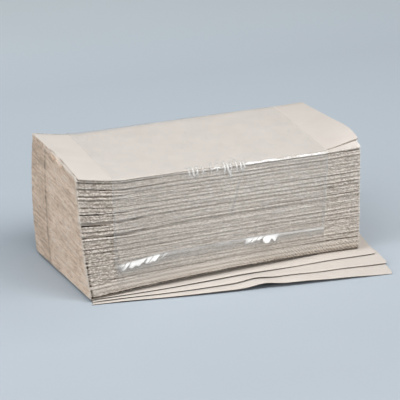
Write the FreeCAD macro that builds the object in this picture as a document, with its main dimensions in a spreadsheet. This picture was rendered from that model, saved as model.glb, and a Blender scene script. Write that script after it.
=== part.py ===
import FreeCAD, Part
import Sketcher
import os

# A banded pack of interfolded paper hand towels.
#
# Row frame: +X along the folds, to the right. -Y is the front, where the fanned towels come out.
# +Z is up. The origin is on the surface that the pack lies on, below the middle of its top towel.
#
# Each towel is one sheet folded once into two legs. Inside the block the legs interlock: a fold
# encloses one leg of the towel above and one leg of the towel below, so that folds alternate
# between the back and the front. A level is the height that one leg takes up.

document = FreeCAD.newDocument("paper_towel_pack")
sheet = document.addObject("Spreadsheet::Sheet", "Sizes")

# Millimetres and degrees. A comment says what each size is.
DRIVING_SIZES = (
    ("towel_length", 250.0),  # of a towel, along its fold
    ("leg_depth", 115.0),  # from the fold to a free edge, so a sheet is cut 250 x 230
    ("ply", 0.15),  # thickness of the embossed paper
    ("layer_gap", 0.042),  # air between two legs of the block
    ("interfolded_towels", 249.0),  # in the block, below its top towel
    ("towels_per_group", 25.0),  # towels that share one node
    ("edge_clearance", 2.0),  # from a free edge to the outside of the fold that holds it
    ("crease_run", 0.6),  # length over which the legs close up towards the crease
    ("crease_face", 0.25),  # height of the blunt front of a crease
    ("fold_stagger", 0.3),  # how far a fold may stand in front of or behind its place
    ("end_stagger", 0.15),  # the same at the two cut ends
    ("stagger_turn", 137.5),  # degrees of the stagger's wave from a towel to the next
    ("bottom_yaw", 5.0),  # how far the block is twisted at its bottom, seen from above
    ("late_twist", 0.36),  # share of the twist that gathers towards the bottom
    ("bottom_shift_x", 1.8),  # how far the bottom of the block has slid along X
    ("bottom_shift_y", -0.4),  # and along Y
    ("top_yaw", 0.7),  # turn of the top towel on the block
    ("loose_fold_height", 0.7),  # of a towel that nothing presses, over its round fold
    ("fan_gap", 0.3),  # air between two fanned towels
    ("fan_inset", 4.1),  # from the block's lower front left corner to the fan's, along X
    ("fan_setback", 0.2),  # the same along Y
    ("fan_corner_step", 1.9),  # how far each fanned towel's corner lies in front of the last
    ("fan_first_yaw", 1.4),  # turn of the upper fanned towel
    ("fan_yaw_step", 3.9),  # how far each next one is turned forward from the last
    ("film_width", 190.0),  # of the band, along X
    ("film_ply", 0.1),  # thickness of the film
    ("film_gap", 0.3),  # from the film to what it holds, and to the fan below it
    ("lap_height", 26.0),  # of the lap seam's upper edge above the block's bottom
    ("lap_depth", 6.5),  # how far the film's two ends overlap
)
for row, (alias, value) in enumerate(DRIVING_SIZES, start=1):
    sheet.set(f"A{row}", alias)
    sheet.set(f"B{row}", str(value))
    sheet.setAlias(f"B{row}", alias)
document.recompute()

TOWELS = int(sheet.interfolded_towels)
GROUP = int(sheet.towels_per_group)
FANNED = ("upper_fanned_towel", "middle_fanned_towel", "lower_fanned_towel")
LEVELS = 2 * TOWELS

# Sizes worked out from the driving ones, as expressions.
PITCH = "(Sizes.ply + Sizes.layer_gap)"
STACK_DEPTH = "(Sizes.leg_depth + Sizes.edge_clearance)"
FAN_STEP = "(Sizes.loose_fold_height + Sizes.fan_gap)"
FAN_TOP = f"({len(FANNED)} * {FAN_STEP} - Sizes.fan_gap)"
BLOCK_BOTTOM = f"({FAN_TOP} + 2 * Sizes.film_gap + Sizes.film_ply)"
BLOCK_HEIGHT = f"({LEVELS} * {PITCH})"
TOP_TOWEL_HEIGHT = f"({PITCH} + Sizes.ply)"
BLOCK_TOP = f"({BLOCK_BOTTOM} + {BLOCK_HEIGHT} + {TOP_TOWEL_HEIGHT})"


def yaw_at(depth):
    """Turn of the block at a share of its height, from 0 at the top to 1 at the bottom."""
    return f"(Sizes.bottom_yaw * ((1 - Sizes.late_twist) * {depth} + Sizes.late_twist * {depth} ^ 3))"


def plane_of(body, role):
    """One of a body's own origin planes."""
    return next(f for f in body.Origin.OriginFeatures if f.Role == role)


def fix_point(sketch, edge, end, across, up):
    """Place a point of a sketch by two distances from the origin. None leaves one of them free."""
    for kind, text in (("DistanceX", across), ("DistanceY", up)):
        if text is not None:
            value = float(sketch.evalExpression(text))
            index = sketch.addConstraint(Sketcher.Constraint(kind, -1, 1, edge, end, value))
            sketch.setExpression(f"Constraints[{index}]", text)


def section(body, name, corners, round_edges=()):
    """A closed outline across the folds, in Y and Z. round_edges are half circles to the left."""
    sketch = body.newObject("Sketcher::SketchObject", name)
    sketch.AttachmentSupport = [(plane_of(body, "YZ_Plane"), "")]
    sketch.MapMode = "FlatFace"
    points = [
        FreeCAD.Vector(*(float(sketch.evalExpression(text)) for text in corner), 0)
        for corner in corners
    ]
    for i, start in enumerate(points):
        end = points[(i + 1) % len(points)]
        if i in round_edges:
            sketch.addGeometry(half_circle(start, end), False)
        else:
            sketch.addGeometry(Part.LineSegment(start, end), False)
    for i in range(len(corners)):
        following = (i + 1) % len(corners)
        last = 1 if runs_down(points, i, round_edges) else 2
        first = 2 if runs_down(points, following, round_edges) else 1
        sketch.addConstraint(Sketcher.Constraint("Coincident", i, last, following, first))
    for i, (across, up) in enumerate(corners):
        first = 2 if runs_down(points, i, round_edges) else 1
        fix_point(sketch, i, first, across, up)
    for i in round_edges:
        fix_point(sketch, i, 3, corners[i][0], None)
    return sketch


def half_circle(start, end):
    """The half circle that bulges to the left between two points, one above the other."""
    middle = (start + end) * 0.5
    left = FreeCAD.Vector(middle.x - abs(end.y - start.y) / 2, middle.y, 0)
    return Part.Arc(start, left, end)


def runs_down(points, i, round_edges):
    """Whether a round edge starts at its last corner, because a sketch's arcs turn one way."""
    return i in round_edges and points[(i + 1) % len(points)].y > points[i].y


def new_body(name):
    body = document.addObject("PartDesign::Body", name)
    body.Label = name
    return body


def pad_along_fold(body, sketch, both_ways):
    """A towel as long as its fold, from its section."""
    pad = body.newObject("PartDesign::Pad", f"{body.Name}_length")
    pad.Profile = sketch
    pad.setExpression("Length", "Sizes.towel_length")
    if both_ways:
        pad.SideType = "Symmetric"
    sketch.Visibility = False
    return pad


def creased_towel(name, levels):
    """A towel pressed flat in the block: its fold at the front, its legs some levels apart."""
    height = f"({levels} * {PITCH} + Sizes.ply)"
    crease = f"(-{STACK_DEPTH} / 2)"
    free_edge = f"({crease} + Sizes.leg_depth)"
    closing = f"({crease} + Sizes.crease_run)"
    face_low = f"(({height} - Sizes.crease_face) / 2)"
    face_high = f"(({height} + Sizes.crease_face) / 2)"
    corners = (
        (free_edge, "0"),
        (closing, "0"),
        (crease, face_low),
        (crease, face_high),
        (closing, height),
        (free_edge, height),
        (free_edge, f"{height} - Sizes.ply"),
        (closing, f"{height} - Sizes.ply"),
        (f"{crease} + Sizes.ply", f"{height} / 2"),
        (closing, "Sizes.ply"),
        (free_edge, "Sizes.ply"),
    )
    body = new_body(name)
    pad_along_fold(body, section(body, f"{name}_section", corners), True)
    return body


def loose_towel(name, fold_height, fold_edge, both_ways):
    """A towel that nothing presses: a round fold at the front and two flat legs."""
    radius = f"({fold_height} / 2)"
    bend = f"({fold_edge} + {radius})"
    free_edge = f"({fold_edge} + Sizes.leg_depth)"
    corners = (
        (free_edge, "0"),
        (bend, "0"),
        (bend, fold_height),
        (free_edge, fold_height),
        (free_edge, f"{fold_height} - Sizes.ply"),
        (bend, f"{fold_height} - Sizes.ply"),
        (bend, "Sizes.ply"),
        (free_edge, "Sizes.ply"),
    )
    body = new_body(name)
    pad_along_fold(body, section(body, f"{name}_section", corners, (1, 5)), both_ways)
    return body


def place(item, across, along, up, yaw):
    """Bind an object's place and its turn about +Z."""
    item.setExpression("Placement.Base.x", across)
    item.setExpression("Placement.Base.y", along)
    item.setExpression("Placement.Base.z", up)
    item.Placement.Rotation = FreeCAD.Rotation(FreeCAD.Vector(0, 0, 1), 1)
    item.setExpression("Placement.Rotation.Angle", f"1 deg * ({yaw})")


def interfolded_towel(number, shape):
    """A link to a folded towel, number 0 just below the top towel. Odd ones fold at the front."""
    lower_level = max(LEVELS - 3 - 2 * number, 0)
    depth = f"({number} / {TOWELS - 1})"
    wave = f"({number} * Sizes.stagger_turn)"
    half_turn = 0 if number % 2 else 180
    link = document.addObject("App::Link", f"towel_{number + 2:03d}")
    link.setLink(shape)
    place(
        link,
        f"Sizes.bottom_shift_x * {depth} + Sizes.end_stagger * cos(2 * {wave})",
        f"Sizes.bottom_shift_y * {depth} + Sizes.fold_stagger * sin({wave})",
        f"{BLOCK_BOTTOM} + {lower_level} * {PITCH}",
        f"{yaw_at(depth)} + {half_turn}",
    )
    return link


def block_of_towels():
    """The interfolded towels, top to bottom, in groups of separate solids that share a node."""
    inner = creased_towel("inner_towel", 3)
    outer = creased_towel("outer_towel", 2)
    links = [
        interfolded_towel(number, outer if number in (0, TOWELS - 1) else inner)
        for number in range(TOWELS)
    ]
    groups = []
    for first in range(0, TOWELS, GROUP):
        name = f"interfolded_towels_{first // GROUP + 1:02d}"
        group = document.addObject("Part::Compound", name)
        group.Label = name
        group.Links = links[first : first + GROUP]
        groups.append(group)
    return groups


def top_towel():
    """The towel that lies closed on the block, its fold at the back and a little turned."""
    towel = loose_towel("top_towel", TOP_TOWEL_HEIGHT, "(-Sizes.leg_depth / 2)", True)
    place(towel, "0", "0", f"{BLOCK_BOTTOM} + {BLOCK_HEIGHT}", "Sizes.top_yaw + 180")
    return towel


def fanned_towels():
    """The three under the band, fanned forward about the block's lower front left corner."""
    half_length = "(Sizes.towel_length / 2)"
    half_depth = f"({STACK_DEPTH} / 2)"
    turn = "(Sizes.bottom_yaw)"
    corner_x = (
        f"Sizes.bottom_shift_x - {half_length} * cos{turn} + {half_depth} * sin{turn}"
        " + Sizes.fan_inset"
    )
    corner_y = (
        f"Sizes.bottom_shift_y - {half_length} * sin{turn} - {half_depth} * cos{turn}"
        " + Sizes.fan_setback"
    )
    towels = []
    for number, name in enumerate(FANNED):
        towel = loose_towel(name, "Sizes.loose_fold_height", "(0)", False)
        place(
            towel,
            corner_x,
            f"{corner_y} - {number} * Sizes.fan_corner_step",
            f"{len(FANNED) - 1 - number} * {FAN_STEP}",
            f"Sizes.fan_first_yaw - {number} * Sizes.fan_yaw_step",
        )
        towels.append(towel)
    return towels


def film_corner(side_of_x, side_of_y, depth, clearance, lift="0"):
    """A point of the band's section at one end of its width, for a share of the block's height."""
    turn = yaw_at(depth)
    x = f"({side_of_x} * Sizes.film_width / 2 - Sizes.bottom_shift_x * {depth})"
    y = (
        f"Sizes.bottom_shift_y * {depth} + {x} * tan{turn}"
        f" + {side_of_y} * ({STACK_DEPTH} / 2 + {clearance}) / cos{turn}"
    )
    z = f"{BLOCK_TOP} - {depth} * ({BLOCK_TOP} - {BLOCK_BOTTOM}) + {lift}"
    return y, z


def film_outline(side_of_x, outside):
    """The band's section: taut over the block, and outside it a lap seam low on the front."""
    off = "(Sizes.film_gap + Sizes.film_ply)" if outside else "Sizes.film_gap"
    clear = f"(Sizes.fold_stagger + {off})"
    lapped = f"({clear} + Sizes.film_ply)"
    block_height = f"({BLOCK_TOP} - {BLOCK_BOTTOM})"
    lap_top = f"(1 - Sizes.lap_height / {block_height})"
    lap_end = f"(1 - (Sizes.lap_height - Sizes.lap_depth) / {block_height})"
    front = [("0.3", clear), ("0.55", clear), (lap_top, clear)]
    if outside:
        front += [(lap_top, lapped), (lap_end, lapped), (lap_end, clear)]
    corners = [film_corner(side_of_x, -1, "0", clear, off)]
    corners += [film_corner(side_of_x, -1, depth, offset) for depth, offset in front]
    corners += [film_corner(side_of_x, side, "1", clear, f"(-{off})") for side in (-1, 1)]
    corners += [film_corner(side_of_x, 1, depth, clear) for depth in ("0.8", "0.55", "0.3")]
    corners += [film_corner(side_of_x, 1, "0", clear, off)]
    return corners


def film_band():
    """One strip of clear film around the block, closed on itself."""
    body = new_body("film_band")
    for kind, outside in (("Additive", True), ("Subtractive", False)):
        sketches = []
        for side in (-1, 1):
            name = f"film_{kind.lower()}_{'right' if side > 0 else 'left'}"
            sketch = section(body, name, film_outline(side, outside))
            sketch.setExpression("AttachmentOffset.Base.z", f"{side} * Sizes.film_width / 2")
            sketch.Visibility = False
            sketches.append(sketch)
        loft = body.newObject(f"PartDesign::{kind}Loft", f"film_{kind.lower()}")
        loft.Profile = sketches[0]
        loft.Sections = [sketches[1]]
        loft.Ruled = True
        document.recompute()
    return body


subparts = [top_towel()] + block_of_towels() + fanned_towels() + [film_band()]
document.recompute()

for item in document.Objects:
    if "Invalid" in item.State or "Error" in item.State:
        raise RuntimeError(f"{item.Name} did not recompute: {item.State}")
for item in subparts:
    if item.Shape.isNull() or not item.Shape.isValid():
        raise RuntimeError(f"{item.Label} has no valid shape")

os.makedirs("parts", exist_ok=True)
for item in subparts:
    item.Shape.exportStep(f"parts/{item.Label}.step")
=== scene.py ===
import functools
import math

import bpy
import numpy as np
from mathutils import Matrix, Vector


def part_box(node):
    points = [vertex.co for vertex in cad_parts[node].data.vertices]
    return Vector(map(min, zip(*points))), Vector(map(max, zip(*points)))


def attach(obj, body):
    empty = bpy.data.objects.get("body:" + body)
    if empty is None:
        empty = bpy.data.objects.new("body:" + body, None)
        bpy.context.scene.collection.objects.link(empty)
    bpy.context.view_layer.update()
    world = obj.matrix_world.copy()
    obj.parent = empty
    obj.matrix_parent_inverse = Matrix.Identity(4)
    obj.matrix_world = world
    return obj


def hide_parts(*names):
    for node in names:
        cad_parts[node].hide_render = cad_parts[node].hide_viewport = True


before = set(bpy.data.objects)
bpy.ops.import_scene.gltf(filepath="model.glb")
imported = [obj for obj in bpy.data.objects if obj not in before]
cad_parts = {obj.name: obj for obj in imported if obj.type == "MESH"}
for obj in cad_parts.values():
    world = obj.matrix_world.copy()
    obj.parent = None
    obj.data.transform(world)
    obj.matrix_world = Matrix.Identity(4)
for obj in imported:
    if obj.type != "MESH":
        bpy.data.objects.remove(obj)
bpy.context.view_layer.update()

# A banded pack of interfolded paper hand towels. Shapes are worked out in millimetres and go
# into the meshes in metres. +X runs along the folds, -Y is the front, +Z is up.

MM = 0.001

# The pack's sizes, as in the CAD source.
LENGTH, LEG, STACK = 250.0, 115.0, 117.0
PLY, PITCH = 0.15, 0.192
TOWELS, GROUP = 249, 25
LEVELS = 2 * TOWELS
BLOCK_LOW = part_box("interfolded_towels_10")[0].z / MM
BLOCK_HIGH = BLOCK_LOW + LEVELS * PITCH
BOTTOM_YAW, LATE_TWIST = 5.0, 0.36
BOTTOM_SHIFT = (1.8, -0.4)
FOLD_STAGGER, END_STAGGER, STAGGER_TURN = 0.3, 0.15, 137.5
FOLDS = LEVELS / 4  # creases above one another on the front, and as many on the back
HALF = STACK / 2  # from the block's middle to its front


# -------- smooth random heights


LATTICE = (101, 103)  # random heights along u and v before they repeat


@functools.cache
def random_heights(seed):
    return np.random.default_rng(seed).uniform(-1, 1, LATTICE)


def noise(u, v, seed):
    """Smooth random heights from -1 to 1 over two coordinates, a new value every unit. So
    noise(x / 30, y / 20, seed) has bumps about 30 mm long and 20 mm wide."""
    lattice = random_heights(seed)
    u, v = np.broadcast_arrays(np.asarray(u, float), np.asarray(v, float))
    i, j = np.floor(u).astype(int), np.floor(v).astype(int)
    a, b = u - i, v - j
    a, b = a * a * (3 - 2 * a), b * b * (3 - 2 * b)

    def at(p, q):
        return lattice[p % LATTICE[0], q % LATTICE[1]]

    low = at(i, j) * (1 - a) + at(i + 1, j) * a
    high = at(i, j + 1) * (1 - a) + at(i + 1, j + 1) * a
    return low * (1 - b) + high * b


def ease(value, start, end):
    """0 before start, 1 after end, and a smooth step between them."""
    t = np.clip((value - start) / (end - start), 0, 1)
    return t * t * (3 - 2 * t)


def hump(value, centre, spread):
    """1 at the centre, falling off smoothly on both sides."""
    return np.exp(-(((value - centre) / spread) ** 2))


# -------- how the block is deformed


def yaw_at(depth):
    """Turn of the block in radians, from depth 0 at its top to 1 at its bottom."""
    return np.radians(BOTTOM_YAW * ((1 - LATE_TWIST) * depth + LATE_TWIST * depth**3))


# Past the band the leaves are loose: how far along X that starts, over what length it grows and
# how sharply.
LOOSE_LEFT, LOOSE_RIGHT = (84, 41, 1.35), (88, 37, 1.4)


def loosened(x, start, length, power):
    return np.clip((x - start) / length, 0, 1) ** power


def left_end(x):
    """From 0 near the band's left edge to 1 at the block's left end."""
    return loosened(-x, *LOOSE_LEFT)


def right_end(x):
    """From 0 near the band's right edge to 1 at the block's right end."""
    return loosened(x, *LOOSE_RIGHT)


# Where the leaves part most at the front of the ends: share of the height from the top, gap at
# the left end and gap at the right end, in mm.
FRONT_GAPS = (
    (0.020, 0.0, 0.3),
    (0.088, 0.2, 0.2),
    (0.380, 0.3, 0.0),
)
SWELL_LEFT, SWELL_RIGHT = (6.3, 0.2), (0.5, 0.3)  # at the top of the ends, and more in front
ARCH_MIDDLE, ARCH_REACH = -14, 139  # the arch of the block's bottom, along X
ARCH_FRONT, ARCH_DROP, ARCH_BACK = 2.3, 4.2, 1.2
PILLOW, PILLOW_WAVES, CURL, CURL_EDGE = 1.9, 0.9, 10.2, 0.15
CROWN_DEPTH = 9.2  # thickness of the leaves that bulge at the top
ARCH_FADE, DROOP_FADE, WAVES_FADE = 28, 25, 60  # heights over which these fade


def parted(x, front, level):
    """How far the gaps at the front of the ends lift the leaves above them."""
    total = 0.0
    for share, at_left, at_right in FRONT_GAPS:
        edge = 4 * round((LEVELS * (1 - share) - 0.5) / 4) + 0.5
        gap = at_left * left_end(x) + at_right * right_end(x)
        total += front**2 * (level > edge) * gap
    return total


def arch(x, front, height):
    """How far the block's bottom is arched up in the middle and bent down at its ends."""
    bow = ((x - ARCH_MIDDLE) / ARCH_REACH) ** 2
    at_front = ARCH_FRONT - ARCH_DROP * bow
    at_back = ARCH_BACK * (1 - bow) - ARCH_BACK * np.clip((-60 - x) / 65, 0, 1) ** 2
    return (at_front * front + at_back * (1 - front)) * np.exp(-height / ARCH_FADE)


def crown(x, y, front, below_top):
    """How far the topmost leaves bulge at the left end and curl down at the right end."""
    waves = PILLOW_WAVES * noise(y / 11, 0, 31)
    pillow = left_end(x) * (PILLOW * np.sin(np.pi * front) + waves)
    curl = 1 - np.exp(-(((1 - front) / CURL_EDGE) ** 1.5))
    pillow += CURL * right_end(x) * front**1.1 * curl
    return np.clip(1 - below_top / CROWN_DEPTH, 0, 1) ** 2 * pillow


def rise(x, y, level):
    """How far a leaf of the block stands above its even place, in mm."""
    front = np.clip((HALF - y) / STACK, 0, 1)
    height, below_top = level * PITCH, (LEVELS - level) * PITCH
    swell = left_end(x) * (SWELL_LEFT[0] + SWELL_LEFT[1] * front)
    swell += right_end(x) * (SWELL_RIGHT[0] + SWELL_RIGHT[1] * front)
    total = parted(x, front, level) + swell * (level / LEVELS) ** 1.5
    total = total + arch(x, front, height) + crown(x, y, front, below_top)
    droop = np.clip((x + LENGTH / 2) / LENGTH, 0, 1) * front
    total -= droop * np.exp(-below_top / DROOP_FADE)
    waves = 0.35 * noise(x / 62, height / 23 + y / 90, 11)
    return total + waves * np.exp(-below_top / WAVES_FADE)


def to_row(x, y, depth, slide=(0.0, 0.0)):
    """Places in the row frame of places in the block's own, turned and slid as the block is."""
    turn = yaw_at(depth)
    across = x * np.cos(turn) - y * np.sin(turn) + BOTTOM_SHIFT[0] * depth + slide[0]
    along = x * np.sin(turn) + y * np.cos(turn) + BOTTOM_SHIFT[1] * depth + slide[1]
    return across, along


# -------- folds set back or standing out

# Dark lines of the front: share of the height from the top, how much lower it lies at the left
# end, folds on each side of its middle, and how far these are set back at the left, in the middle
# and at the right, in mm.
FRONT_LINES = (
    (0.020, 0.010, 0.7, 1.2, 2.0, 2.6),
    (0.076, 0.014, 0.7, 2.4, 1.0, 1.2),
    (0.118, 0.022, 0.7, 3.0, 0.3, 0.2),
    (0.150, 0.024, 0.6, 2.0, 0.1, 0.3),
    (0.233, 0.008, 0.5, 0.9, 0.5, 1.2),
    (0.275, 0.020, 0.6, 2.2, 0.4, 0.5),
    (0.312, 0.000, 0.6, 0.2, 0.3, 1.5),
    (0.350, 0.024, 1.6, 7.0, 0.5, 0.6),
    (0.427, 0.014, 0.6, 1.7, 0.6, 1.2),
    (0.466, 0.014, 1.7, 7.5, 0.6, 0.4),
    (0.530, -0.018, 0.5, 0.9, 0.1, 0.5),
    (0.578, 0.006, 0.6, 1.7, 0.4, 0.9),
    (0.625, 0.000, 0.6, 0.8, 0.9, 1.8),
    (0.673, 0.000, 0.6, 0.3, 0.5, 1.6),
    (0.697, 0.000, 0.5, 0.8, 0.1, 0.1),
    (0.735, 0.000, 0.5, 0.4, 0.3, 0.4),
    (0.824, -0.015, 0.5, 0.4, 0.4, 0.9),
    (0.871, -0.005, 0.8, 0.5, 1.1, 2.6),
    (0.920, 0.000, 0.7, 1.6, 0.5, 0.1),
    (0.991, 0.000, 0.9, 0.6, 0.9, 0.9),
)
BACK_LINES = (
    (0.050, 0.010, 0.6, 1.2, 0.8, 1.8),
    (0.130, 0.000, 0.7, 2.4, 0.9, 1.0),
    (0.210, -0.010, 0.5, 1.0, 0.3, 1.4),
    (0.290, 0.015, 1.0, 0.8, 1.4, 3.4),
    (0.370, 0.000, 0.6, 1.3, 0.5, 0.8),
    (0.450, -0.012, 1.0, 3.2, 1.2, 1.6),
    (0.550, 0.000, 0.5, 0.8, 0.4, 1.5),
    (0.620, 0.010, 0.7, 1.0, 0.9, 2.6),
    (0.710, 0.000, 0.6, 1.8, 0.4, 0.8),
    (0.790, -0.008, 0.6, 0.6, 0.5, 1.9),
    (0.900, 0.000, 0.7, 2.0, 0.8, 1.2),
    (0.996, 0.000, 0.8, 2.4, 2.6, 2.4),
)
LINE_PLACES = (-112, -66, 62, 106)  # where along X those three depths hold


def bare(x):
    """1 where the band leaves the folds loose, less so at the right, and 0 where it holds them."""
    return ease(-x, 93, 96) + 0.5 * ease(x, 93, 96)


def low_band(front, fold):
    """1 in the lowest towels of the front, whose folds are ridged."""
    return ease(fold / FOLDS, 0.885, 0.90) if front else 0


def ridges(x, fold, seed):
    """Slanted ridges along a fold, from -1 to 1."""
    return np.sin(2 * np.pi * (x / 3.1 - fold / 4.4 + 0.3 * noise(x / 20, 0, seed + 5)))


def set_back(front, fold, x):
    """How far a fold's crease lies inside the block's face, in mm, along its length."""
    seed = 20 if front else 50
    loose = bare(x)
    depth = 0.42 + (0.20 - 0.10 * loose) * noise(x / 80, fold / 0.9, seed)
    depth += (0.26 + 0.25 * loose) * noise(x / 1.4, fold / 0.6, seed + 1)
    depth += 0.18 * noise(x / 12, fold / 1.2, seed + 6)
    dashes = np.clip(noise(x / 9, fold / 0.8, seed + 2) - 0.25, 0, 1)
    depth += (0.5 + 0.3 * loose) * dashes
    lines = FRONT_LINES if front else BACK_LINES
    for number, (share, lower, reach, at_left, middle, at_right) in enumerate(lines):
        place = FOLDS * (share + lower * ease(-x, 30, 120)) + 0.4 * noise(x / 70, number, seed + 3)
        strength = np.interp(x, LINE_PLACES, (at_left, middle, middle, at_right))
        strength *= 1 + 0.45 * noise(x / 16, number, seed + 4)
        away = np.abs(fold - place)
        depth += strength * (1 - ease(away, reach * 0.55, reach + 0.45))
        lip = np.clip(strength, 0, 1.6)
        depth -= 0.36 * lip * hump(fold, place - reach - 1.0, 0.9)
        depth -= 0.12 * lip * hump(fold, place + reach + 1.2, 0.9)
    low = low_band(front, fold)
    ridged = (0.15 + 0.45 * ease(x, -40, 60)) * ridges(x, fold, seed)
    return depth * (1 - 0.75 * low * (fold < FOLDS - 4)) + low * ridged


# How much darker the lowest fold is than the others, at places along X: a painted shadow under the
# block's bottom front edge.
LOWEST_X, LOWEST_SHADE = (-125, -95, -80, 10, 60), (0.6, 0.75, 0.95, 0.95, 0.65)


def fold_shade(front, fold, x, depth, speckle):
    """How light the crepe paper is along a fold, as painted shade and light: darker the deeper it
    lies between the others and under a deep fold above it, lighter where it stands out, darker
    towards the left and where the band leaves it loose, a painted shadow in the lowest fold, dark
    dashes at the left corner, and random speckle standing for the crepe's light and shade.
    """
    # Painted shadow from a fold above that lies deep.
    over = 0.5 * np.clip(set_back(front, fold - 1.0, x) - 2.2, 0, 9)
    deep = 1.09 * np.exp(-0.46 * np.clip(depth + over - 0.35, 0, 9))
    # Painted highlight where a fold stands out of the face.
    deep += 0.22 * np.clip(0.35 - depth, 0, 2)
    # Painted shade: darker towards the left end and where the folds are loose.
    deep = deep - 0.16 * ease(-x, -20, 80) - 0.10 * bare(x)
    deep += 0.03 * noise(x / 14, fold / 0.7, 29)
    low = low_band(front, fold)
    # Painted light and shade along the ridges of the lowest towels.
    deep += 0.24 * low * ease(x, -40, 60) * ridges(x, fold, 20)
    # Painted shadow under the block's bottom front edge, in its lowest folds.
    lowest = np.interp(x, LOWEST_X, LOWEST_SHADE)
    deep *= 1 - lowest * ease(fold, FOLDS - 3.5, FOLDS - 2.3) * front
    # Dark dashes along the front left corner, growing towards the bottom.
    corner_dashes = np.clip(0.75 + 0.7 * noise(fold / 1.4, 0, 24), 0, 1) * ease(fold / FOLDS, 0.25, 0.75)
    deep *= 1 - 0.85 * corner_dashes * ease(-x, 121.8, 123.4) * front
    # Random speckle, painted light and shade of the crepe.
    deep *= 1 + (0.24 * (1 - low) + 0.22 * bare(x)) * speckle
    return np.clip(deep, 0.05, 1.4 - 0.25 * bare(x))


PASS_AT = 24.6  # where along Y the saw's second pass starts in an end face


def pass_line(left, height):
    """The line where that pass starts, bent near the block's bottom."""
    seed = 82 if left else 92
    return PASS_AT + 0.5 * noise(height / 14, 0, seed) + 2.4 * ease(-height, -55, -5)


def end_shade(left, y, height):
    """How light an end face is: a little darker behind its pass line, with a painted groove shadow
    just in front of that line and a painted light line just behind it, random mottling, and
    painted highlights along the front corner and the upper rim.
    """
    past = y - pass_line(left, height)
    shade = 1 - 0.12 * ease(past, 0, 1.5) + 0.10 * noise(y / 8, height / 8, 84)
    # Painted shadow of the groove where the saw's second pass starts, and a painted light line
    # behind it.
    shade -= (0.58 + 0.14 * noise(height / 4, 2, 85)) * hump(past, -1.2, 1.8)
    shade += 0.20 * hump(past, 1.6, 1.1)
    shade += 0.22 * noise(y / 6, height / 1.1, 86)
    # Painted highlights along the front corner and the upper rim.
    shade += 0.22 * ease(-y, HALF - 5, HALF - 2)
    return shade + 0.30 * ease(height, LEVELS * PITCH - 2.4, LEVELS * PITCH - 1.2)


def end_relief(left, y, height):
    """How far a cut edge stands out of its end face, in mm. Kept slight, as the last strip of a
    sheet is one fan of faces from its edge."""
    slant = y * 0.30 - height * 0.95
    streaks = 0.02 * noise(slant / 1.7, (y * 0.95 + height * 0.30) / 30, 80 if left else 90)
    streaks -= 0.04 * hump(y - pass_line(left, height), -1.0, 1.4)
    lean = 0.021 * (y + HALF) * np.sin(np.pi * np.clip(height / (LEVELS * PITCH), 0, 1))
    return streaks + lean if left else streaks


# -------- folded sheets as meshes


def chain_faces(first, first_at, second, second_at):
    """Triangles between two rows of points that run side by side, each with its places 0 to 1."""
    faces, i, j = [], 0, 0
    while i < len(first) - 1 or j < len(second) - 1:
        take_first = j == len(second) - 1 or (
            i < len(first) - 1 and first_at[i + 1] <= second_at[j + 1] + 1e-9
        )
        if take_first:
            faces.append((first[i], first[i + 1], second[j]))
            i += 1
        else:
            faces.append((first[i], second[j + 1], second[j]))
            j += 1
    return faces


def even(count):
    return [i / (count - 1) for i in range(count)]


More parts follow.
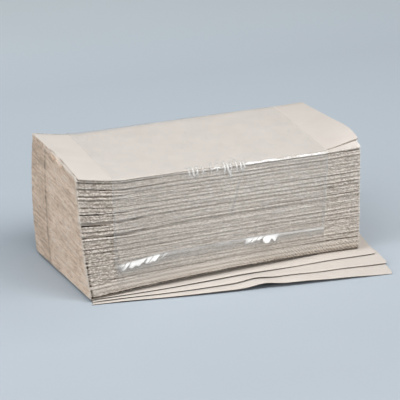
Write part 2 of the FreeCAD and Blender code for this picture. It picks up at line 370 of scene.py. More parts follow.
class FoldedSheet:
    """The faces of a sheet folded once, closed: many slices along the fold's outer bend, fewer
    along the legs, and more rows in the two cut ends than between them.

    A ring runs round the section: the lower leg's outside from its free edge, the outer bend,
    the upper leg's outside, its inside, the inner bend and the lower leg's inside."""

    OUTER, INNER = 4, 3  # points on the outer and inner bend

    def __init__(self, slices, bends, rows, end_rows):
        """slices and bends are the places of the two kinds of slices along the fold."""
        self.slices, self.bends = slices, bends
        self.rows, self.end_rows = rows, end_rows
        self.flat_ring = 4 * rows + self.INNER
        self.first_bend = len(slices) * self.flat_ring
        self.first_end = self.first_bend + len(bends) * self.OUTER
        self.end_ring = 4 * end_rows + self.OUTER + self.INNER
        faces = self.between_slices() + self.end_strip(True) + self.end_strip(False)
        self.faces = np.array(faces, np.int32)

    def ring(self, s, bend):
        """Point numbers round one slice, in the order of the section."""
        start, rows = s * self.flat_ring, self.rows
        flat = list(range(start, start + self.flat_ring))
        outer = [self.first_bend + bend * self.OUTER + n for n in range(self.OUTER)]
        return flat[:rows] + outer + flat[rows:]

    def runs(self, ring, rows):
        """A ring's parts: the faces of the legs and the two bends, sharing their ends."""
        a = rows
        b = a + self.OUTER
        c = b + rows
        d = c + rows
        e = d + self.INNER
        ends = ((0, a + 1), (a, b), (b - 1, c), (c, d + 1), (d, e), (e - 1, e + rows))
        return [ring[first:last] for first, last in ends]

    def between_slices(self):
        faces = []
        bend = range(self.rows, self.rows + self.OUTER)
        count = len(self.ring(0, 0))
        for s in range(len(self.slices) - 1):
            here, there = self.ring(s, 0), self.ring(s + 1, 0)
            for p in range(count):
                q = (p + 1) % count
                if p not in bend and q not in bend:
                    faces.append((here[p], here[q], there[q]))
                    faces.append((here[p], there[q], there[p]))
        for n in range(len(self.bends) - 1):
            here = self.first_bend + n * self.OUTER
            for p in range(here, here + self.OUTER - 1):
                faces.append((p, p + 1, p + 1 + self.OUTER))
                faces.append((p, p + 1 + self.OUTER, p + self.OUTER))
        legs = range(len(self.slices))
        along = range(len(self.bends))
        below = [s * self.flat_ring + self.rows - 1 for s in legs]
        above = [s * self.flat_ring + self.rows for s in legs]
        first = [self.first_bend + n * self.OUTER for n in along]
        last = [number + self.OUTER - 1 for number in first]
        faces += chain_faces(first, self.bends, below, self.slices)
        faces += chain_faces(above, self.slices, last, self.bends)
        return faces

    def end_strip(self, low):
        start = self.first_end + (0 if low else self.end_ring)
        end = list(range(start, start + self.end_ring))
        near = self.ring(0, 0) if low else self.ring(len(self.slices) - 1, len(self.bends) - 1)
        fine, coarse = self.runs(end, self.end_rows), self.runs(near, self.rows)
        faces = []
        for many, few in zip(fine, coarse):
            faces += chain_faces(many, even(len(many)), few, even(len(few)))
        for run, following in ((2, 3), (5, 0)):
            a, b = fine[run][-1], fine[following][0]
            c, d = coarse[run][-1], coarse[following][0]
            faces += [(a, b, d), (a, d, c)]
        outer = fine[0] + fine[1][1:] + fine[2][1:]
        inner = (fine[3] + fine[4][1:] + fine[5][1:])[::-1]
        places = [self.places(count) for count in (self.OUTER, self.INNER)]
        cap = chain_faces(outer, places[0], inner, places[1])
        faces += [(c, b, a) for a, b, c in cap]
        return faces if low else [(c, b, a) for a, b, c in faces]

    def places(self, bend):
        """Where the points of one skin lie along a cut end: leg, bend, leg."""
        legs = self.end_rows
        turned = [legs + (n + 1) / (bend - 1) for n in range(bend - 1)]
        return [*range(legs + 1), *turned, *[legs + 2 + n for n in range(legs)]]

    def flat_section(self, rows, crease, height, leg):
        """Depths and heights of the ring's points without the outer bend, one row a slice."""
        radius = height / 2
        crease = np.asarray(crease, float)[:, None]
        inside = np.linspace(np.pi / 2, -np.pi / 2, self.INNER)
        free = np.full((len(crease), 1), leg)
        rows = np.maximum(np.asarray(rows, float)[None, :], crease + radius + 0.4)
        bend = crease + radius - (radius - PLY) * np.cos(inside)
        depths = [free, rows[:, ::-1], rows, free, free, rows[:, ::-1], bend, rows, free]
        flat = np.ones(rows.shape[1])
        heights = [[0.0], 0 * flat, height * flat, [height], [height - PLY]]
        heights += [(height - PLY) * flat, radius + (radius - PLY) * np.sin(inside)]
        heights += [PLY * flat, [PLY]]
        return np.concatenate(depths, 1), np.concatenate(heights)

    def bend_section(self, crease, height):
        """The same for the outer bend."""
        radius = height / 2
        turn = np.linspace(-np.pi / 2, np.pi / 2, self.OUTER)
        crease = np.asarray(crease, float)[:, None]
        return crease + radius - radius * np.cos(turn), radius * (1 + np.sin(turn))

    def sections(self, rows, end_rows, crease, height, leg):
        """(places along the fold, depths, heights) of each part's points. crease is a function
        of the place, and says how far the fold is set back."""
        found = [(self.bends, *self.bend_section(crease(self.bends), height))]
        inner = crease(self.bends)
        gaps = np.searchsorted(self.bends, self.slices)
        reach = int(len(self.bends) / len(self.slices)) + 1
        lows = [inner[max(0, g - reach) : g + reach + 1].max() for g in gaps]
        found.insert(0, (self.slices, *self.flat_section(rows, lows, height, leg)))
        for end in (-LENGTH / 2, LENGTH / 2):
            place = np.array([end])
            at = crease(place)
            depths, heights = self.flat_section(end_rows, at, height, leg)
            bend, lifts = self.bend_section(at, height)
            cut = self.end_rows
            depths = np.concatenate([depths[:, :cut], bend, depths[:, cut:]], 1)
            heights = np.concatenate([heights[:cut], lifts, heights[cut:]])
            found.append((place, depths, heights))
        return found


def scene_object(name, data):
    piece = bpy.data.objects.new(name, data)
    bpy.context.scene.collection.objects.link(piece)
    return piece


def mesh_piece(name, points, faces, material, smooth_angle=0.7):
    """A mesh object from points in mm and faces of one size."""
    mesh = bpy.data.meshes.new(name)
    count, size = faces.shape
    mesh.vertices.add(len(points))
    mesh.vertices.foreach_set("co", (points * MM).astype(np.float32).ravel())
    mesh.loops.add(count * size)
    mesh.loops.foreach_set("vertex_index", faces.astype(np.int32).ravel())
    mesh.polygons.add(count)
    mesh.polygons.foreach_set("loop_start", np.arange(0, count * size, size, dtype=np.int32))
    mesh.update(calc_edges=True)
    mesh.validate()
    mesh.polygons.foreach_set("use_smooth", np.ones(len(mesh.polygons), bool))
    mesh.set_sharp_from_angle(angle=smooth_angle)
    mesh.materials.append(material)
    return scene_object(name, mesh)


def add_value(piece, name, values):
    """A number for each point, which the material reads."""
    layer = piece.data.attributes.new(name, "FLOAT", "POINT")
    layer.data.foreach_set("value", np.asarray(values, np.float32))


def paper_piece(node, points, shades, faces, material):
    """A paper mesh that stands for one of the CAD's nodes."""
    piece = mesh_piece(f"paper_{node}", np.concatenate(points), faces, material)
    add_value(piece, "shade", np.concatenate(shades))
    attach(piece, "root")
    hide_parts(node)


# -------- the block

# Rows of points across the leaves: few on the legs near the top, which bulge, and none on the
# others, but many in the cut ends, and most where the saw's second pass starts.
TOP_ROWS_Y = np.array((-55.0, -50.5, -44.0, -34.0, -18.0, 5.0, 30.0))
END_ROWS_Y = np.array(
    (-53.0, -48, -43, -38, -33, -28, -23, -18, -13, -8, -3, 2, 7, 12, 17, 20.5)
    + (22.2, 23.4, 24.4, 25.4, 26.6, 28.2, 31.0, 36, 42, 48, 54)
)
FINE_TOWELS = 24  # towels from the top whose legs have rows
BEND_X = np.linspace(-LENGTH / 2 + 1.0, LENGTH / 2 - 1.0, 255)
SLICE_X = np.concatenate(
    [
        [-LENGTH / 2 + 1.0, -121, -117, -113, -109, -104, -99, -93, -86],
        np.linspace(-76, 84, 15),
        [90, 95, 100, 104, 108, 112, 116, 120, LENGTH / 2 - 1.0],
    ]
)


def row_depths(rows_y, front):
    """The same rows as depths from a fold at the front or at the back, nearest first."""
    return np.sort(rows_y + HALF if front else HALF - rows_y)


def towel_points(number, shape, speckle):
    """Points of one interfolded towel in the row frame. Odd ones fold at the front."""
    front = number % 2 == 1
    level = max(LEVELS - 3 - 2 * number, 0)
    levels = 2 if number in (0, TOWELS - 1) else 3
    height = levels * PITCH + PLY
    depth = number / (TOWELS - 1)
    wave = math.radians(number * STAGGER_TURN)
    slide = (END_STAGGER * math.cos(2 * wave), FOLD_STAGGER * math.sin(wave))
    fold = (LEVELS - level - levels) / 4
    leg_rows = row_depths(TOP_ROWS_Y, front) if shape.rows > 1 else ()
    end_rows = row_depths(END_ROWS_Y, front)

    def crease(x):
        return np.clip(set_back(front, fold, x), -0.9, 7)

    parts, shades = [], []
    for place, depths, heights in shape.sections(leg_rows, end_rows, crease, height, LEG):
        y = (depths - HALF) if front else (HALF - depths)
        shade = np.ones(y.shape)
        x = np.repeat(place[:, None], y.shape[1], 1)
        part = np.clip((heights - PLY) / (height - 2 * PLY), 0, 1)
        low, high = rise(x, y, level), rise(x, y, level + levels)
        z = BLOCK_LOW + level * PITCH + heights + low + part * (high - low)
        if len(place) == 1:
            side = np.sign(place[0])
            x += side * end_relief(side < 0, y, level * PITCH + heights)
            shade = end_shade(side < 0, y, level * PITCH + heights)
        elif y.shape[1] == shape.OUTER:
            speckles = speckle.uniform(-1, 1, len(place))
            shade *= fold_shade(front, fold, place, crease(place), speckles)[:, None]
        across, along = to_row(x, y, depth, slide)
        parts.append(np.stack([across, along, z], -1).reshape(-1, 3))
        shades.append(shade.ravel())
    return np.concatenate(parts), np.concatenate(shades), front


def block_pieces(material):
    """The interfolded towels in the CAD's groups, each towel a closed folded sheet."""
    cut = len(END_ROWS_Y) + 1
    plain = FoldedSheet(SLICE_X, BEND_X, 1, cut)
    fine = FoldedSheet(SLICE_X, BEND_X, len(TOP_ROWS_Y) + 1, cut)
    random = np.random.default_rng(5)
    for start in range(0, TOWELS, GROUP):
        points, faces, shades, count = [], [], [], 0
        numbers = range(start, min(start + GROUP, TOWELS))
        for number in numbers:
            shape = fine if number < FINE_TOWELS else plain
            found, shade, front = towel_points(number, shape, random)
            turned = shape.faces[:, ::-1] if front else shape.faces
            points.append(found)
            faces.append(turned + count)
            shades.append(shade * random.uniform(0.95, 1.04))
            count += len(found)
        name = f"interfolded_towels_{start // GROUP + 1:02d}"
        faces = np.concatenate(faces)
        paper_piece(name, points, shades, faces, material)


# -------- the top towel

TOP_HEIGHT = PITCH + PLY
TOP_YAW = 1.3  # degrees, more than the CAD's plain solids have room for
DRAWN_IN = 4.5  # how far its front edge is drawn in at the right
TOP_ROWS = np.array((-56.0, -52, -47, -41, -34, -26, -18, -8, 2, 12, 22, 32, 42, 51))


def top_extra(x, y):
    """How far the top towel stands off the block, in mm: its two ends are loose."""
    front = np.clip((HALF - y) / STACK, 0, 1)
    left, right = left_end(x), right_end(x)
    lift = left * (0.35 + 0.3 * noise(y / 5, 3, 31))
    lift += right * (0.3 + 0.4 * ease(front, 0.55, 1.0))
    lift += 0.16 * (1 + noise(x / 34, y / 24, 32))
    return np.maximum(lift, 0.02)


def top_towel(material):
    """The towel that lies closed on the block, its fold at the back."""
    slices = np.linspace(-LENGTH / 2 + 1.0, LENGTH / 2 - 1.0, 101)
    rows = np.sort(LEG / 2 - TOP_ROWS)
    shape = FoldedSheet(slices, slices, len(rows) + 1, len(rows) + 1)
    parts, shades = [], []
    turn = math.radians(TOP_YAW)

    def crease(x):
        return 0.15 * noise(x / 30, 0, 41)

    for place, depths, heights in shape.sections(rows, rows, crease, TOP_HEIGHT, LEG):
        y = LEG / 2 - depths
        edge = ease(depths, LEG - 12, LEG) * 0.35 * noise(place / 24, 2, 42)[:, None]
        drawn_in = DRAWN_IN * ease(depths, LEG - 45, LEG) * ease(place, 84, 122)[:, None]
        y = y - edge + drawn_in
        u = np.repeat(place[:, None], y.shape[1], 1)
        if len(place) == 1:
            side = np.sign(place[0])
            u += side * 0.12 * noise(y / 9, side, 43)
        across = u * math.cos(turn) - y * math.sin(turn)
        along = u * math.sin(turn) + y * math.cos(turn)
        base = BLOCK_HIGH + rise(across, along, LEVELS) + top_extra(across, along)
        open_up = ease(depths, LEG - 70, LEG) * (0.15 * left_end(across) + 0.6 * right_end(across))
        z = base + heights + open_up * (heights > TOP_HEIGHT / 2)
        parts.append(np.stack([across, along, z], -1).reshape(-1, 3))
        # Painted light: the top towel is lighter towards its left end and darker towards its
        # right.
        shade = 1 + 0.11 * ease(-across, 60, 120) - 0.05 * ease(across, 60, 110)
        shades.append(shade.ravel())
    paper_piece("top_towel", parts, shades, shape.faces, material)


# -------- the fanned towels

LOOSE_HEIGHT, FAN_GAP = 0.7, 0.3
FAN_CORNER = (-115.6, -69.1)
# For each towel from the lowest up: its length along the fold, how far its front left corner lies
# to the left of the fan's corner and in front of it, how far its front is bowed, and its turn.
FANNED = ("lower_fanned_towel", "middle_fanned_towel", "upper_fanned_towel")
FAN_LENGTHS = (255.0, 256.0, 254.0)
FAN_SLIDES, FAN_STEPS = (1.5, 0, 0), (3.8, 0.9, -1.2)
FAN_BOWS = (3.2, 4.4, 3.0)
FAN_YAWS = (-7.2, -3.65, 0.15)
FAN_ROWS = np.array((2.0, 5, 9, 14, 20, 27, 35, 45, 57, 70, 85, 100))
# Painted shade on the lower part of each fan towel's front fold, standing for the dark gap below
# it.
FAN_PAINTED_SHADE, FAN_LIT = 0.05, 0.91  # shade in the gap below a towel, and how much more on its top


def under_block(x, y):
    """1 below the block and 0 in front of its lower front edge."""
    turn = math.radians(BOTTOM_YAW)
    inside = -(x - BOTTOM_SHIFT[0]) * math.sin(turn) + (y - BOTTOM_SHIFT[1]) * math.cos(turn)
    return ease(inside, -HALF - 9, -HALF + 1)


def fan_rise(x, y, layer):
    """How far the fan's towels stand off the surface in front of the block, in mm."""
    free = 1 - under_block(x, y)
    ridge = x + 0.35 * (y + 85)
    lift = 2.7 * hump(ridge, 21, 12) + 1.5 * hump(ridge, 48, 24)
    lift = lift * ease(-y, 68, 88) + 0.6 * ease(x, -118, -90) + 1.2 * ease(x, -70, 10)
    lift -= 1.5 * ease(x, 92, 136)
    lift += layer * (0.5 * hump(x, 20, 40) + 0.35 * hump(x, 95, 35) + 0.5 * ease(x, 95, 140))
    return free * (lift + 0.05 * layer)


def fan_height(x, y, nominal, layer):
    """Height of a leaf of the fan: pressed below the block, free in front of it."""
    turn = math.radians(BOTTOM_YAW)
    local_x = (x - BOTTOM_SHIFT[0]) * math.cos(turn) + y * math.sin(turn)
    room = BLOCK_LOW + rise(local_x, np.full(np.shape(x), -HALF), 0.0) - 0.75
    whole = 3 * LOOSE_HEIGHT + 2 * FAN_GAP
    pressed = np.clip(room / whole, 0.3, 1.0)
    under = under_block(x, y)
    return nominal * (pressed * under + (1 - under)) + fan_rise(x, y, layer)


def fanned_towel(layer, material):
    """One of the towels that lie fanned under the band, a round fold at its front."""
    length = FAN_LENGTHS[layer]
    slices = np.linspace(-length / 2 + 1.2, length / 2 - 1.2, 101)
    shape = FoldedSheet(slices, slices, len(FAN_ROWS) + 1, len(FAN_ROWS) + 1)
    turn = math.radians(FAN_YAWS[layer])
    corner = (FAN_CORNER[0] - FAN_SLIDES[layer], FAN_CORNER[1] - FAN_STEPS[layer])
    parts, shades = [], []

    def crease(x):
        along = np.clip(x / length + 0.5, 0, 1)
        return -FAN_BOWS[layer] * np.sin(np.pi * along) ** 1.2 + 0.25 * noise(x / 21, layer, 61)

    for place, depths, heights in shape.sections(FAN_ROWS, FAN_ROWS, crease, LOOSE_HEIGHT, LEG):
        place = place * (length / LENGTH if len(place) == 1 else 1)
        u = np.repeat(place[:, None] + length / 2, depths.shape[1], 1)
        if len(place) == 1:
            rounded = 2.4 * np.clip(1 - (depths - crease(place)[:, None]) / 3.2, 0, 1) ** 2
            right = place[0] > 0
            rounded *= 0.5 if right and layer == 0 else 1.0
            u -= rounded if right else 0.6 * rounded
            u += 0.12 * noise(depths / 8, layer, 62 + right)
        across = corner[0] + u * math.cos(turn) - depths * math.sin(turn)
        along = corner[1] + u * math.sin(turn) + depths * math.cos(turn)
        nominal = layer * (LOOSE_HEIGHT + FAN_GAP) + heights
        z = fan_height(across, along, nominal, layer)
        parts.append(np.stack([across, along, z], -1).reshape(-1, 3))
        # How far up the fold's front the painted shade reaches, farther at the left.
        tucked = 0.72 * ease(-place, -70, 40)[:, None]
        lit = ease(heights[None, :] / LOOSE_HEIGHT, tucked, np.minimum(tucked + 0.6, 1))
        shades.append((FAN_PAINTED_SHADE + FAN_LIT * lit + 0 * depths).ravel())
    paper_piece(FANNED[layer], parts, shades, shape.faces[:, ::-1], material)


# -------- the film band

FILM_HALF = 95.0  # half of the band's width
FILM_PLY, FILM_OFF = 0.06, 0.75  # its thickness, and how far it stands off the block
LAP_HIGH, LAP_LOW = 26.0, 19.5  # the lap's two edges above the block's bottom
EDGE, BACK_EDGE, LOW_EDGE = 3.4, 2.2, 2.0  # radii over the top front, top back and lower edges
CLEAREST = -0.2  # crease value of film that shows no haze, round the lower front edge


def face_y(x, share, side, off):
    """Where the band lies in front of or behind the block, side -1 or 1, at a row-frame x."""
    turn = yaw_at(share)
    middle = BOTTOM_SHIFT[1] * share + (x - BOTTOM_SHIFT[0] * share) * np.tan(turn)
    return middle + side * (HALF + off) / np.cos(turn)


# Short creases over the band's top front edge: place along X, lean, how far they reach up over
# the top and down the front, in mm, and strength.
HOOKS = (
    (-28.5, 0.6, 2, 2, 0.6),
    (-25.0, 0.5, 3, 3, 0.9),
    (-21.5, -0.5, 3, 1.5, 0.7),
    (-16.5, 0.9, 3, 2, 0.5),
    (-9.0, -0.4, 7, 1.5, 0.35),
    (-4.0, -0.5, 9, 1.5, 0.5),
    (2.7, -0.3, 5, 3, 0.8),
    (5.3, 0.4, 3, 6, 1.0),
    (8.2, -0.2, 3, 5, 0.6),
    (13.0, 0.5, 4, 3, 0.6),
    (16.8, 0.4, 7, 3, 0.9),
    (19.8, -0.4, 4, 2, 0.7),
)


def crumple(x, reach):
    """Height of those creases, at a distance below the edge or, if negative, behind it."""
    total = 0.0
    for place, lean, up, down, strength in HOOKS:
        along = reach / (down if reach > 0 else up)
        total += strength * hump(x, place + lean * reach, 0.7) * math.exp(-(along**2))
    return total


def lap_patch(x):
    """0 to 1 where the lap stands off the band."""
    low = ease(x, -94, -84) * (1 - ease(x, -57, -47))
    return low + ease(x, 19, 25) * (1 - ease(x, 48, 54))


def lap_shine(x, share):
    """How white the lap is: painted highlights in bright patches with slanted gaps, and a faint
    painted highlight line along its top.
    """
    slant = x + 8.0 * share
    teeth = ease(noise(slant / 2.4, 0.3, 74), -0.42, -0.22)
    torn = 0.36 + 0.4 * noise(x / 3.0, 0.5, 78)
    ragged = 1 - ease(share, torn, torn + 0.2)
    line = 0.32 + 0.30 * ease(x, -5, 25) + 0.15 * noise(x / 9, 0, 79)
    line *= 1 - ease(share, 0.0, 0.28)
    return float(np.clip(lap_patch(x) * teeth * ragged + line, 0, 1))


def quarter_turn(count):
    """Cosine and sine of angles that run evenly from 0 to 90 degrees."""
    turns = [math.radians(angle) for angle in np.linspace(0, 90, count)]
    return [(math.cos(turn), math.sin(turn)) for turn in turns]


class FilmSlice:
    """The band's path at one x, from its inner end behind the lap once round the block: y, z and a
    crease value at each point, high along creases and also where a glint or the lap's highlights
    are painted."""

    def __init__(self, x):
        self.x, self.path = x, []
        self.top_front = BLOCK_HIGH + TOP_HEIGHT + rise(x, -HALF, LEVELS) + FILM_OFF
        self.top_back = BLOCK_HIGH + TOP_HEIGHT + rise(x, HALF, LEVELS) + FILM_OFF
        self.low_front = BLOCK_LOW + rise(x, -HALF, 0.0) - 0.4
        self.low_back = BLOCK_LOW + rise(x, HALF, 0.0) - 0.4
        self.tall = self.top_front - self.low_front
        self.lap_high = LAP_HIGH - 2.8 * ease(-x, 50, 95)
        self.inner_end()
        self.underside()
        self.back()
        self.top()
        self.front_edge()
        self.front_face()
        self.lap()

    def add(self, y, z, crease=0.0):
        self.path.append((y, z, crease))

    def add_front(self, height, extra, crease):
        """A point of the front face, height in mm above its lower end."""
        x, z = self.x, self.low_front + height
        share = np.clip((self.top_front - z) / self.tall, 0, 1)
        relief = 0.28 * noise(x / 33, z / 21, 72) + 0.10 * noise(x / 9, z / 30, 73)
        self.add(face_y(x, share, -1, FILM_OFF + extra + relief), z, crease)

    def inner_end(self):
        for height in np.linspace(self.lap_high, 3.0, 16):
            self.add_front(height, 0.0, CLEAREST * (1 - ease(height, 4, 8)))

    def underside(self):
        front, back = face_y(self.x, 1.0, -1, FILM_OFF), face_y(self.x, 1.0, 1, FILM_OFF)
        for cos, sin in quarter_turn(6):
            z = self.low_front + LOW_EDGE - LOW_EDGE * sin
            self.add(front + LOW_EDGE * (1 - cos), z, CLEAREST)
        y0, y1 = front + LOW_EDGE, back - LOW_EDGE
        for share in np.linspace(0.04, 0.96, 12):
            z = self.low_front + share * (self.low_back - self.low_front)
            self.add(y0 + share * (y1 - y0), z)
        for cos, sin in quarter_turn(6):
            z = self.low_back + LOW_EDGE - LOW_EDGE * cos
            self.add(back - LOW_EDGE + LOW_EDGE * sin, z)

    def back(self):
        for share in np.linspace(0.05, 0.95, 26):
            z = self.low_back + share * (self.top_back - self.low_back)
            relief = 0.3 * noise(self.x / 30, z / 22, 75)
            self.add(face_y(self.x, 1 - share, 1, FILM_OFF + relief), z)

    def top(self):
        y0 = face_y(self.x, 0.0, 1, FILM_OFF) - BACK_EDGE
        y1 = face_y(self.x, 0.0, -1, FILM_OFF) + EDGE
        for cos, sin in quarter_turn(7):
            self.add(y0 + BACK_EDGE * cos, self.top_back - BACK_EDGE + BACK_EDGE * sin)
        for share in np.concatenate([np.linspace(0.03, 0.6, 14), np.linspace(0.63, 0.99, 24)]):
            y = y0 + share * (y1 - y0)
            z = self.top_back + share * (self.top_front - self.top_back)
            fold = crumple(self.x, y1 - y)
            z = z + 0.14 * (1 + noise(self.x / 26, y / 19, 76)) + 0.55 * fold
            self.add(y, z, min(0.9 * fold, 1))

    def front_edge(self):
        """Over the top front edge, where the film is drawn tight, with a painted glint at the
        right: whiter, more opaque film along part of the curve.
        """
        x, fold = self.x, crumple(self.x, 0.0)
        strip = ease(x, 14, 24) * (1 - ease(x, 92, 95)) + 0.7 * hump(x, -4, 4)
        for angle in (8, 18, 26, *np.linspace(26, 66, 6)[1:], 74, 82, 90):
            a = math.radians(angle)
            taut = math.cos(a - math.radians(46)) / math.cos(math.radians(20))
            radius = EDGE * (1 + 0.16 * fold) / max(taut, 1.0)
            # Painted highlight along the curve at the right.
            painted_glint = strip * (0.72 - 0.3 * ease(x, 35, 75) + 0.6 * noise(x / 5, angle / 12, 80))
            painted_glint = painted_glint * ease(angle, 22, 34) * (1 - ease(angle, 56, 66))
            y = face_y(x, 0.0, -1, FILM_OFF) + EDGE - radius * math.sin(a)
            z = self.top_front - EDGE + radius * math.cos(a)
            self.add(y, z, min(max(painted_glint, 0.9 * fold), 1))

    def front_face(self):
        """Down the front to the lap, with one long slanted crease near the middle."""
        x = self.x
        rim = 0.15 * ease(abs(x), FILM_HALF - 1.6, FILM_HALF)
        for height in np.linspace(self.tall - EDGE - 0.6, self.lap_high + 1.5, 46):
            fold = crumple(x, self.tall - height - EDGE)
            ridge = hump(x, 13 - 0.25 * (self.tall - 25 - height), 1.0)
            ridge = ridge * ease(height, 48, 55) * (1 - ease(height, 78, 84))
            shine = max(0.9 * fold, 0.12 * ridge, rim)
            self.add_front(height, 0.5 * fold + 0.45 * ridge, min(shine, 1))

    def lap(self):
        """The outer end, which lies over the inner one and stands off it in two places."""
        depth = LAP_HIGH - LAP_LOW
        for share in np.linspace(0, 1, 9):
            out = 0.16 + lap_patch(self.x) * 0.44 * share * depth
            out += 0.10 * noise(self.x / 3.5, share * 2, 77)
            self.add_front(self.lap_high - share * depth, out, lap_shine(self.x, share))


def band_faces(count, rows):
    """Faces of the strip's two skins and of its rims, for the same grid of points on each skin."""
    over = count * rows
    index = np.arange(over).reshape(count, rows)
    a, b, c, d = index[:-1, :-1], index[1:, :-1], index[1:, 1:], index[:-1, 1:]
    inner = np.stack([a, b, c, d], -1).reshape(-1, 4)
    rims = []
    for line in (index[0], index[-1][::-1], index[:, 0][::-1], index[:, -1]):
        rims.append(np.stack([line[:-1], line[1:], line[1:] + over, line[:-1] + over], -1))
    return np.concatenate([inner, inner[:, ::-1] + over, *rims])


# The band's slices along X: from, to and step, closer where the film is creased.
FILM_STEPS = (-95, -42, 1.1), (-42, -33, 2.2), (-33, 27, 0.7), (27, 59, 1.1), (59, 94, 2.2)


def film_band(material):
    """One strip of clear film drawn round the block, its two ends lapped low on the front."""
    xs = np.concatenate([np.arange(*step) for step in FILM_STEPS] + [[FILM_HALF]])
    slices = np.array([FilmSlice(x).path for x in xs])
    path, crease = slices[..., :2], slices[..., 2]
    count, rows = crease.shape
    step = np.gradient(path, axis=1)
    outward = np.stack([step[..., 1], -step[..., 0]], -1)
    outward /= np.linalg.norm(outward, axis=-1, keepdims=True)
    grid_x = np.repeat(xs[:, None, None], rows, 1)
    skins = [path, path + FILM_PLY * outward]
    points = [np.concatenate([grid_x, skin], -1).reshape(-1, 3) for skin in skins]
    faces = band_faces(count, rows)
    piece = mesh_piece("clear_film_band", np.concatenate(points), faces, material, 1.2)
    add_value(piece, "crease", np.tile(crease.ravel(), 2))
    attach(piece, "root")
    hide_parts("film_band")


# -------- materials


class Nodes:
    """Shorthand for a material's nodes."""

    def __init__(self, name):
        self.material = bpy.data.materials.new(name)
        self.material.use_nodes = True
        self.tree = self.material.node_tree
        self.shader = self.tree.nodes["Principled BSDF"]

    def feed(self, socket, value):
        """Link an input to another node's output, or give it a value."""
        if isinstance(value, bpy.types.NodeSocket):
            self.tree.links.new(value, socket)
        else:
            socket.default_value = value

    def add(self, kind, inputs=(), **settings):
        node = self.tree.nodes.new(kind)
        for key, value in settings.items():
            setattr(node, key, value)
        for key, value in dict(inputs).items():
            self.feed(node.inputs[key], value)
        return node

    def set(self, **inputs):
        for key, value in inputs.items():
            self.feed(self.shader.inputs[key.replace("_", " ")], value)

    def math(self, operation, a, b=0.0, clamp=False):
        node = self.add("ShaderNodeMath", {0: a, 1: b}, operation=operation, use_clamp=clamp)
        return node.outputs[0]

    def place(self, sizes, turn=(0.0, 0.0, 0.0)):
        """Places divided by a size in mm along each turned axis."""
        where = self.add("ShaderNodeTexCoord").outputs["Object"]
        inputs = {"Vector": where, "Scale": [size * MM for size in sizes], "Rotation": turn}
        return self.add("ShaderNodeMapping", inputs, vector_type="TEXTURE").outputs[0]

    def noise(self, vector, detail=2.0, scale=1.0, roughness=0.5):
        inputs = {"Vector": vector, "Scale": scale, "Detail": detail, "Roughness": roughness}
        return self.add("ShaderNodeTexNoise", inputs).outputs[0]

    def blend(self, factor, a, b, mode="MIX"):
        inputs = {0: factor, 6: a, 7: b}
        return self.add("ShaderNodeMix", inputs, data_type="RGBA", blend_type=mode).outputs[2]

    def between(self, value, low, high, out_low=0.0, out_high=1.0):
        inputs = {0: value, 1: low, 2: high, 3: out_low, 4: out_high}
        return self.add("ShaderNodeMapRange", inputs).outputs[0]


PULP_DARK, PULP_LIGHT = (0.72, 0.655, 0.595, 1), (0.785, 0.735, 0.68, 1)
FIBRE_DARK, FIBRE_LIGHT = (0.46, 0.40, 0.34, 1), (0.86, 0.82, 0.77, 1)
# Painted shade: upright faces are made darker and warmer than level ones, standing for light
# bounced between the folds.
UPRIGHT_PAINTED_SHADE = (0.95, 0.915, 0.865, 1)  # multiplies the colour of upright faces
CUT_DARK, CUT_LIGHT = (0.96, 0.67, 0.465, 1), (1.0, 0.80, 0.615, 1)
SPECK_DARK, SPECK_LIGHT = (0.53, 0.35, 0.235, 1), (0.98, 0.86, 0.73, 1)
STROKE = (0.46, 0.32, 0.22, 1)  # left by the saw
# Colours that the mesh's shade value blends to: painted shade with darker mottling, near-black
# painted shade, and painted highlight with paler mottling.
PAINTED_SHADE_AND_MOTTLE, PAINTED_DEEP_SHADE, PAINTED_LIGHT_AND_MOTTLE = (0.13, 0.08, 0.035, 1), (0.012, 0.008, 0.004, 1), (0.94, 0.90, 0.84, 1)
CUT_AT = (0.1155, 0.1165)  # metres along X between which a face starts to count as a cut end


def pulp_colour(n, mottle):
    """Unbleached pulp with dark and light fibres."""
    colour = n.blend(mottle, PULP_DARK, PULP_LIGHT)
    fibres = n.noise(n.place((0.6, 2.0, 1.1), (0.4, 0.2, 0.7)), 3.0, 1.0, 0.7)
    colour = n.blend(n.between(fibres, 0.66, 0.74, 0.0, 0.5), colour, FIBRE_DARK)
    return n.blend(n.between(fibres, 0.36, 0.30, 0.0, 0.4), colour, FIBRE_LIGHT)


def cut_colour(n):
    """The warmer colour of cut edges, with flecks and the saw's strokes."""
    saw = n.noise(n.place((9, 14, 1.6), (0.3, 0, 0)), 2.0)
    specks = n.noise(n.place((9, 6.0, 2.4)), 4.0, 1.0, 0.8)
    strokes = n.noise(n.place((9, 42, 2.4), (0.06, 0, 0)), 1.0)
    colour = n.blend(n.between(saw, 0.3, 0.7), CUT_DARK, CUT_LIGHT)
    colour = n.blend(n.between(specks, 0.50, 0.60, 0.0, 0.9), colour, SPECK_DARK)
    colour = n.blend(n.between(specks, 0.46, 0.36, 0.0, 0.9), colour, SPECK_LIGHT)
    return n.blend(n.between(strokes, 0.58, 0.66, 0.0, 0.5), colour, STROKE)


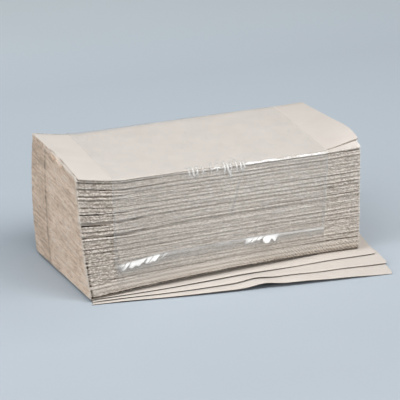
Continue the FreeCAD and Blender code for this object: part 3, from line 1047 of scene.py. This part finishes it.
def recycled_paper():
    """Recycled paper: crepe ridges across the folds, fibres, flecks and cut edges. The mesh's
    shade value paints shade where it is below 1, near black in the deepest lines and gaps, and
    paints highlights where it is above 1, besides some random mottling."""
    n = Nodes("recycled_paper")
    mottle = n.noise(n.place((24, 17, 11)), 3.0)
    normal = n.add("ShaderNodeNewGeometry").outputs["True Normal"]
    facing = n.add("ShaderNodeSeparateXYZ", {0: normal}).outputs
    where = n.add("ShaderNodeTexCoord").outputs["Object"]
    across = n.add("ShaderNodeSeparateXYZ", {0: where}).outputs[0]
    # Painted warm shade on upright faces, chosen by the direction they face.
    side = n.between(n.math("ABSOLUTE", facing[2]), 0.8, 0.5)
    colour = n.blend(side, pulp_colour(n, mottle), UPRIGHT_PAINTED_SHADE, "MULTIPLY")
    cut = n.between(n.math("ABSOLUTE", facing[0]), 0.72, 0.9)
    at_end = n.between(n.math("ABSOLUTE", across), *CUT_AT)
    colour = n.blend(n.math("MULTIPLY", cut, at_end), colour, cut_colour(n))
    shade = n.add("ShaderNodeAttribute", attribute_name="shade").outputs["Fac"]
    # Painted shade where the shade value is below 1, near-black painted shade below about 0.38,
    # and painted highlight above 1.
    colour = n.blend(shade, PAINTED_SHADE_AND_MOTTLE, colour)
    colour = n.blend(n.between(shade, 0.05, 0.38), PAINTED_DEEP_SHADE, colour)
    colour = n.blend(n.between(shade, 1.0, 1.5), colour, PAINTED_LIGHT_AND_MOTTLE)
    crepe = n.noise(n.place((0.67, 8.3, 2.4)), 2.0, 1.0, 0.6)
    emboss = n.noise(n.place((1.9, 2.3, 1.9)), 1.0)
    relief = n.math("ADD", n.math("MULTIPLY", crepe, 0.7), n.math("MULTIPLY", emboss, 0.5))
    bump = n.add("ShaderNodeBump", {"Strength": 0.5, "Distance": 0.00022, "Height": relief})
    rough = n.between(mottle, 0.3, 0.7, 0.88, 0.97)
    n.set(Base_Color=colour, Roughness=rough, Normal=bump.outputs[0])
    n.set(Specular_IOR_Level=0.25, Sheen_Weight=0.06, Sheen_Roughness=0.6)
    return n.material


def clear_film():
    """Thin glossy film: a faint haze, clearer where it lies flat, and whiter and more opaque where
    the crease value is high: along creases, partly as a painted highlight, and as painted
    highlights in the glint and the lap's patches.
    """
    n = Nodes("clear_film")
    crease = n.add("ShaderNodeAttribute", attribute_name="crease").outputs["Fac"]
    haze = n.noise(n.place((14, 17, 13)), 2.0)
    scuffs = n.noise(n.place((2.4, 17, 1.1), (0.2, 0.5, 0.1)), 2.0, 1.0, 0.6)
    cover = n.between(haze, 0.3, 0.7, 0.03, 0.055)
    cover = n.math("ADD", cover, n.between(scuffs, 0.62, 0.75, 0.0, 0.05))
    rim = n.add("ShaderNodeLayerWeight", {"Blend": 0.25}).outputs["Fresnel"]
    cover = n.math("ADD", cover, n.math("MULTIPLY", rim, 0.11))
    cover = n.math("ADD", cover, n.math("MULTIPLY", crease, 0.85), True)
    ripple = n.noise(n.place((18, 6, 8), (0.0, 0.3, 0.2)), 3.0)
    bump = n.add("ShaderNodeBump", {"Strength": 0.35, "Distance": 0.0006, "Height": ripple})
    rough = n.math("ADD", n.between(haze, 0.3, 0.7, 0.10, 0.16), n.math("MULTIPLY", crease, 0.10))
    metal = n.between(crease, 0.0, 1.0, 0.0, 0.05)
    # White where the crease value is high: creases, and painted highlights.
    white = n.between(crease, 0.1, 0.5)
    colour = n.blend(white, (0.76, 0.76, 0.755, 1), (1.0, 0.985, 0.955, 1))
    n.set(Base_Color=colour, Roughness=rough, Normal=bump.outputs[0])
    n.set(Alpha=cover, Metallic=metal, Specular_IOR_Level=0.6)
    return n.material


def backdrop():
    """Plain pale blue-grey paper, lighter far behind the pack as painted light, with a painted
    shadow close to its left.
    """
    n = Nodes("backdrop")
    where = n.add("ShaderNodeTexCoord").outputs["Object"]
    away = n.add("ShaderNodeSeparateXYZ", {0: where}).outputs[1]
    painted_shadow_distance = {0: where, 1: (-0.17, 0.03, 0.0)}
    painted_shadow_distance = n.add("ShaderNodeVectorMath", painted_shadow_distance, operation="DISTANCE").outputs["Value"]
    grain = n.noise(n.place((110, 110, 110)), 2.0)
    # Painted light: the floor's colour grows lighter far behind the pack.
    far = n.between(away, -0.25, 0.6)
    colour = n.blend(far, (0.507, 0.565, 0.622, 1), (0.70, 0.785, 0.87, 1))
    # Painted shadow on the floor close to the pack's left.
    colour = n.blend(n.between(painted_shadow_distance, 0.17, 0.03, 0.0, 0.34), colour, (0.32, 0.375, 0.43, 1))
    colour = n.blend(n.between(away, 0.45, 0.85), colour, (0.86, 0.95, 0.99, 1))
    colour = n.blend(n.between(grain, 0.3, 0.7, 0.0, 0.06), colour, (0.65, 0.71, 0.77, 1))
    n.set(Base_Color=colour, Roughness=0.95, Specular_IOR_Level=0.1)
    return n.material


# -------- studio

LIT_PLACE = (0, 0, 0.05)  # the middle of the pack, which every lamp faces


def floor():
    side = 14.0  # metres, far past what the camera sees
    mesh = bpy.data.meshes.new("floor")
    corners = [(-side, -side, 0), (side, -side, 0), (side, side, 0), (-side, side, 0)]
    mesh.from_pydata(corners, [], [(0, 1, 2, 3)])
    mesh.materials.append(backdrop())
    scene_object("floor", mesh)


def area_light(name, place, size, watts):
    """A rectangular lamp that faces the pack."""
    light = bpy.data.lights.new(name, "AREA")
    light.shape = "RECTANGLE"
    light.size, light.size_y = size
    light.energy = watts
    lamp = scene_object(name, light)
    lamp.location = place
    lamp.rotation_mode = "QUATERNION"
    lamp.rotation_quaternion = (Vector(LIT_PLACE) - Vector(place)).to_track_quat("-Z", "Y")


def lights():
    world = bpy.data.worlds.new("studio")
    world.use_nodes = True
    background = world.node_tree.nodes["Background"].inputs
    background["Color"].default_value = (0.97, 0.985, 1.0, 1)
    background["Strength"].default_value = 0.19
    bpy.context.scene.world = world
    area_light("overhead", (-0.1, -0.55, 1.42), (2.4, 0.8), 20.1)
    area_light("left_fill", (-1.75, -0.5, 0.55), (0.9, 0.9), 12.2)
    area_light("front_fill", (0.93, -1.68, 0.78), (0.7, 0.55), 6.5)
    area_light("edge_light", (0.64, -0.62, 1.45), (0.4, 0.4), 1.6)


def camera():
    """The photograph's viewpoint: a long lens, from the front left and above."""
    azimuth, elevation, distance = math.radians(-21.29), math.radians(21.85), 1.866
    back = (
        math.sin(azimuth) * math.cos(elevation),
        -math.cos(azimuth) * math.cos(elevation),
        math.sin(elevation),
    )
    target = (0.00374, 0.0, 0.0469)
    data = bpy.data.cameras.new("camera")
    data.lens, data.sensor_width = 198, 36
    cam = scene_object("camera", data)
    cam.location = [t + distance * b for t, b in zip(target, back)]
    cam.rotation_mode = "QUATERNION"
    cam.rotation_quaternion = (-Vector(back)).to_track_quat("-Z", "Y")
    bpy.context.scene.camera = cam


paper = recycled_paper()
block_pieces(paper)
top_towel(paper)
for layer in range(3):
    fanned_towel(layer, paper)
film_band(clear_film())
floor()
lights()
camera()
bpy.context.scene.view_settings.view_transform = "Standard"
